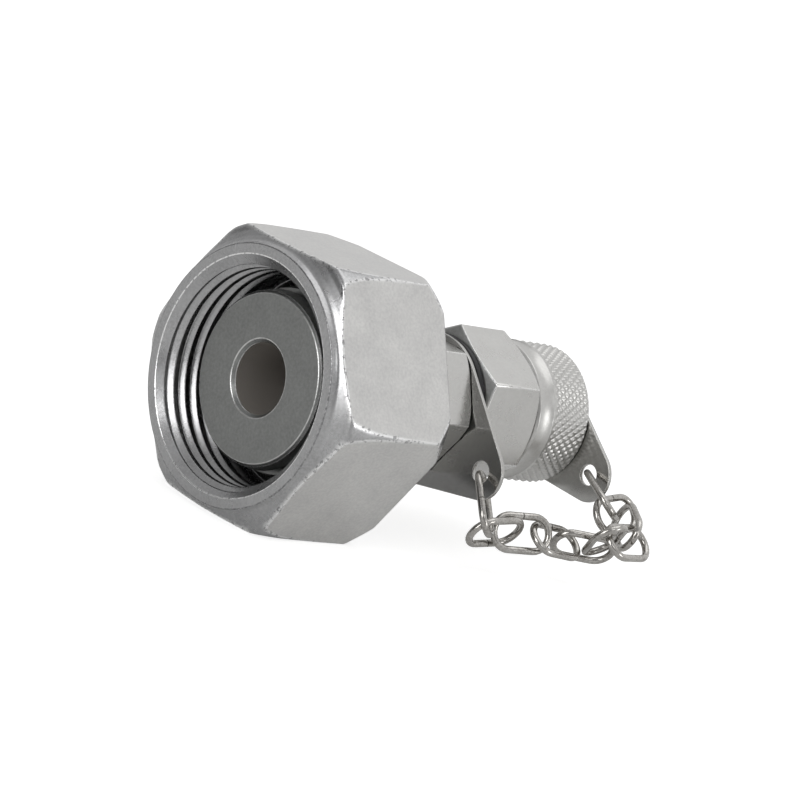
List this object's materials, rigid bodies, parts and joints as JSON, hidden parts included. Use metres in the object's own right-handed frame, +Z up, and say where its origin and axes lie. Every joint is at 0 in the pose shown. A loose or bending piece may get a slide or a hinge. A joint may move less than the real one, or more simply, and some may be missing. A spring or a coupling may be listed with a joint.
{
  "type": "measuring hose connector",
  "caption": "Hydraulic test coupling on a 24 degree cone with a swivelling union nut, and a knurled screw cap held by a chain.",
  "frame": {"origin": "on the axis, in the plane of the union nut's mouth", "axes": "+X along the axis from the nut's mouth to the cap, +Z up, at right angles to the nut's lowest flat"},
  "size_m": [0.0642, 0.0471, 0.036],
  "materials": {
    "nut_plating": "bright zinc-nickel plating over turned steel",
    "body_plating": "bright zinc-nickel plating over turned steel",
    "cap_plating": "bright plating over knurled steel",
    "sheet_plating": "bright plated sheet",
    "chain_wire": "bright nickel plated wire",
    "valve_steel": "bright",
    "seal_rubber": "matte black"
  },
  "bodies": {
    "adapter": {"cone_body": "body_plating", "cone_o_ring": "seal_rubber", "coupling_body": "body_plating", "body_seal": "seal_rubber", "spring_retainer": "valve_steel", "valve_spring": "valve_steel", "port_seal": "seal_rubber"},
    "nut": {"union_nut": "nut_plating"},
    "valve": {"valve_poppet": "valve_steel", "poppet_seal": "seal_rubber"},
    "cap_seat": {"cap_seal": "seal_rubber"},
    "cap": {"protective_cap": "cap_plating", "cap_rivet": "sheet_plating"},
    "collar": {"collar_plate": "sheet_plating"},
    "cap_tag": {"cap_plate": "sheet_plating"},
    "link_01": {"chain_link_01": "chain_wire"},
    "link_02": {"chain_link_02": "chain_wire"},
    "link_03": {"chain_link_03": "chain_wire"},
    "link_04": {"chain_link_04": "chain_wire"},
    "link_05": {"chain_link_05": "chain_wire"},
    "link_06": {"chain_link_06": "chain_wire"},
    "link_07": {"chain_link_07": "chain_wire"},
    "link_08": {"chain_link_08": "chain_wire"},
    "link_09": {"chain_link_09": "chain_wire"},
    "link_10": {"chain_link_10": "chain_wire"}
  },
  "joints": [
    {"name": "nut_swivel", "type": "hinge", "parent": "adapter", "child": "nut", "pos_m": [0.01, 0, 0], "axis": [1, 0, 0], "continuous": true},
    {"name": "valve_slide", "type": "slide", "parent": "adapter", "child": "valve", "axis": [-1, 0, 0], "range_m": [0, 0.002], "stiffness_N_per_m": 200, "springref_m": -0.01, "deforming": ["valve_spring"]},
    {"name": "cap_lift", "type": "slide", "parent": "adapter", "child": "cap_seat", "axis": [1, 0, 0], "range_m": [0, 0.008]},
    {"name": "cap_turn", "type": "hinge", "parent": "cap_seat", "child": "cap", "pos_m": [0.0555, 0, 0], "axis": [1, 0, 0], "range_deg": [0, 1440]},
    {"name": "chain_swing", "type": "hinge", "parent": "adapter", "child": "collar", "pos_m": [0.0351, 0, 0], "axis": [1, 0, 0], "continuous": true},
    {"name": "cap_plate_swing", "type": "hinge", "parent": "cap_seat", "child": "cap_tag", "pos_m": [0.0584, 0, 0], "axis": [1, 0, 0], "continuous": true},
    {"name": "link_01_stretch", "type": "slide", "parent": "collar", "child": "link_01", "axis": [1, 0, 0], "range_m": [0, 0.0007273]},
    {"name": "link_02_stretch", "type": "slide", "parent": "collar", "child": "link_02", "axis": [1, 0, 0], "range_m": [0, 0.00145]},
    {"name": "link_03_stretch", "type": "slide", "parent": "collar", "child": "link_03", "axis": [1, 0, 0], "range_m": [0, 0.00218]},
    {"name": "link_04_stretch", "type": "slide", "parent": "collar", "child": "link_04", "axis": [1, 0, 0], "range_m": [0, 0.00291]},
    {"name": "link_05_stretch", "type": "slide", "parent": "collar", "child": "link_05", "axis": [1, 0, 0], "range_m": [0, 0.00364]},
    {"name": "link_06_stretch", "type": "slide", "parent": "collar", "child": "link_06", "axis": [1, 0, 0], "range_m": [0, 0.00436]},
    {"name": "link_07_stretch", "type": "slide", "parent": "collar", "child": "link_07", "axis": [1, 0, 0], "range_m": [0, 0.00509]},
    {"name": "link_08_stretch", "type": "slide", "parent": "collar", "child": "link_08", "axis": [1, 0, 0], "range_m": [0, 0.00582]},
    {"name": "link_09_stretch", "type": "slide", "parent": "collar", "child": "link_09", "axis": [1, 0, 0], "range_m": [0, 0.00655]},
    {"name": "link_10_stretch", "type": "slide", "parent": "collar", "child": "link_10", "axis": [1, 0, 0], "range_m": [0, 0.00727]}
  ],
  "couplings": [
    {"joint": "cap_lift", "follows": "cap_turn", "m_per_rad": 0.00031831},
    {"joint": "cap_plate_swing", "follows": "chain_swing", "ratio": 1},
    {"joint": "link_01_stretch", "follows": "cap_turn", "m_per_rad": 0.000028937},
    {"joint": "link_02_stretch", "follows": "cap_turn", "m_per_rad": 0.000057875},
    {"joint": "link_03_stretch", "follows": "cap_turn", "m_per_rad": 0.000086812},
    {"joint": "link_04_stretch", "follows": "cap_turn", "m_per_rad": 0.00011575},
    {"joint": "link_05_stretch", "follows": "cap_turn", "m_per_rad": 0.00014469},
    {"joint": "link_06_stretch", "follows": "cap_turn", "m_per_rad": 0.00017362},
    {"joint": "link_07_stretch", "follows": "cap_turn", "m_per_rad": 0.00020256},
    {"joint": "link_08_stretch", "follows": "cap_turn", "m_per_rad": 0.0002315},
    {"joint": "link_09_stretch", "follows": "cap_turn", "m_per_rad": 0.00026044},
    {"joint": "link_10_stretch", "follows": "cap_turn", "m_per_rad": 0.00028937}
  ]
}
